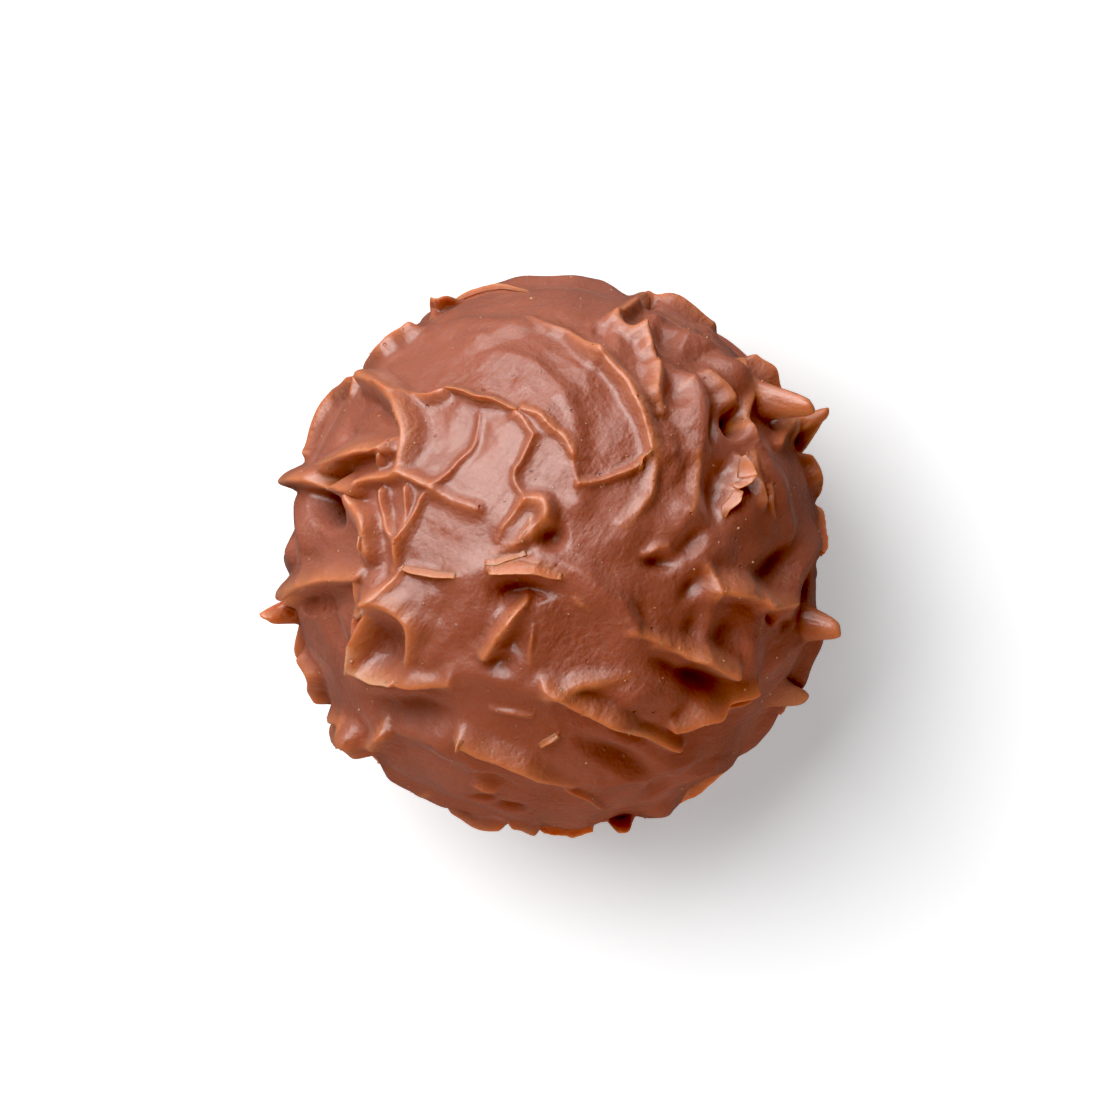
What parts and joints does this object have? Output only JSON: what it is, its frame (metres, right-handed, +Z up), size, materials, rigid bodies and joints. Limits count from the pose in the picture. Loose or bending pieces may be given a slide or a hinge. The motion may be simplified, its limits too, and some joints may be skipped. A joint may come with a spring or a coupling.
{
  "type": "chocolate truffle",
  "caption": "Round milk chocolate truffle whose rough coating is drawn up into fins, flakes and spikes, resting on a small flat spot.",
  "frame": {"origin": "middle of the flat spot that the truffle rests on", "axes": "+Z up from the resting surface; seen from straight above, +X is the picture's right and +Y its top"},
  "size_m": [0.0287, 0.028, 0.026],
  "materials": {
    "milk_chocolate": "satin milk chocolate coating"
  },
  "bodies": {
    "root": {"truffle": "milk_chocolate"}
  },
  "joints": []
}
